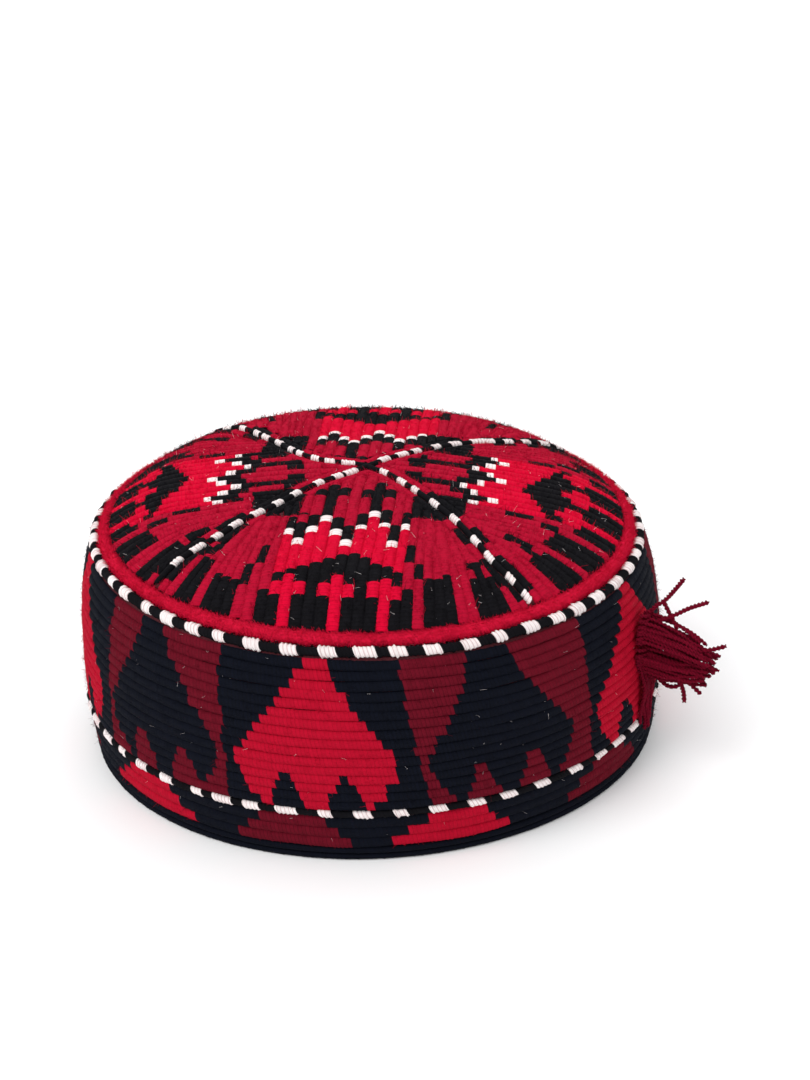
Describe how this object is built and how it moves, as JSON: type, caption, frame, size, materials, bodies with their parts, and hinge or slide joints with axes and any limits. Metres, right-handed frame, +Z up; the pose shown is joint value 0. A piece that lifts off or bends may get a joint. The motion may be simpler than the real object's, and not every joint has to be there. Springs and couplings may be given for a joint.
{
  "type": "embroidered afghan cap",
  "caption": "Round embroidered cap: corded side band, low domed crown quartered by dashed cords, dashed piping, bound hem and a thread tassel on one side.",
  "frame": {"origin": "middle of the whole outline, tassel included, on the plane that the hem rests on", "axes": "+Z up through the crown, -Y the side that is looked at, +X the side of the tassel"},
  "size_m": [0.2132, 0.1998, 0.0931],
  "materials": {
    "crown_embroidery": "close wrapped stitches over cords, bright red, crimson and black, matt",
    "dashed_cord": "wrapped cord, white dashes between black ones, matt",
    "rim_cord": "fuzzy crimson wool cord",
    "band_embroidery": "rows of wrapped cord, red, maroon and blue black, matt",
    "hem_binding": "black wrapped edge, matt",
    "tassel_thread": "twisted dark crimson thread"
  },
  "bodies": {
    "root": {"crown_panel": "crown_embroidery", "divider_cord_front_right": "dashed_cord", "divider_cord_back_right": "dashed_cord", "divider_cord_back_left": "dashed_cord", "divider_cord_front_left": "dashed_cord", "crown_rim_cord": "rim_cord", "seam_piping": "dashed_cord", "side_band": "band_embroidery", "lower_dashed_cord": "dashed_cord", "hem_binding": "hem_binding", "side_tassel": "tassel_thread"}
  },
  "joints": []
}
